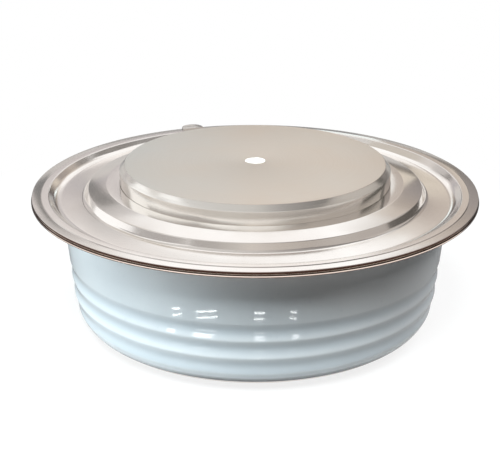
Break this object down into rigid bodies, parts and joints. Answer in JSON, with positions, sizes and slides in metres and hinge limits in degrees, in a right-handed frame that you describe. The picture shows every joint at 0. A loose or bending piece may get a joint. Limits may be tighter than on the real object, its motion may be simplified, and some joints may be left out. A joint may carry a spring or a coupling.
{
  "type": "disc thyristor",
  "caption": "Disc-shaped power thyristor capsule: copper contact poles in a ribbed white ceramic ring, closed by a welded metal rim with a gate tube and a cathode tab.",
  "frame": {"origin": "centre of the lower (anode) contact face", "axes": "+Z along the capsule's axis to the upper (cathode) contact face, -Y to the viewer of the picture"},
  "size_m": [0.1004, 0.1004, 0.0371],
  "materials": {
    "plated_pole": "matte nickel plating on copper",
    "bright_sheet": "bright nickel plating",
    "white_glaze": "white gloss glaze",
    "gate_metal": "plain nickel",
    "white_plastic": "waxy white",
    "molybdenum": "lapped",
    "silver": "soft bright",
    "silicon": "polished",
    "seal_rubber": "soft rubber"
  },
  "bodies": {
    "root": {"cathode_pole": "plated_pole", "cathode_flange": "bright_sheet", "weld_ring": "bright_sheet", "ceramic_insulator": "white_glaze", "anode_flange": "bright_sheet", "anode_pole": "plated_pole", "cathode_tab": "bright_sheet", "gate_tube": "bright_sheet", "gate_wire": "gate_metal", "gate_sleeve": "white_plastic", "gate_pin": "gate_metal", "gate_spring": "gate_metal", "gate_bush": "white_plastic", "cathode_disc": "molybdenum", "silver_foil": "silver", "silicon_wafer": "silicon", "edge_seal": "seal_rubber", "anode_disc": "molybdenum", "centring_ring": "white_plastic"}
  },
  "joints": []
}
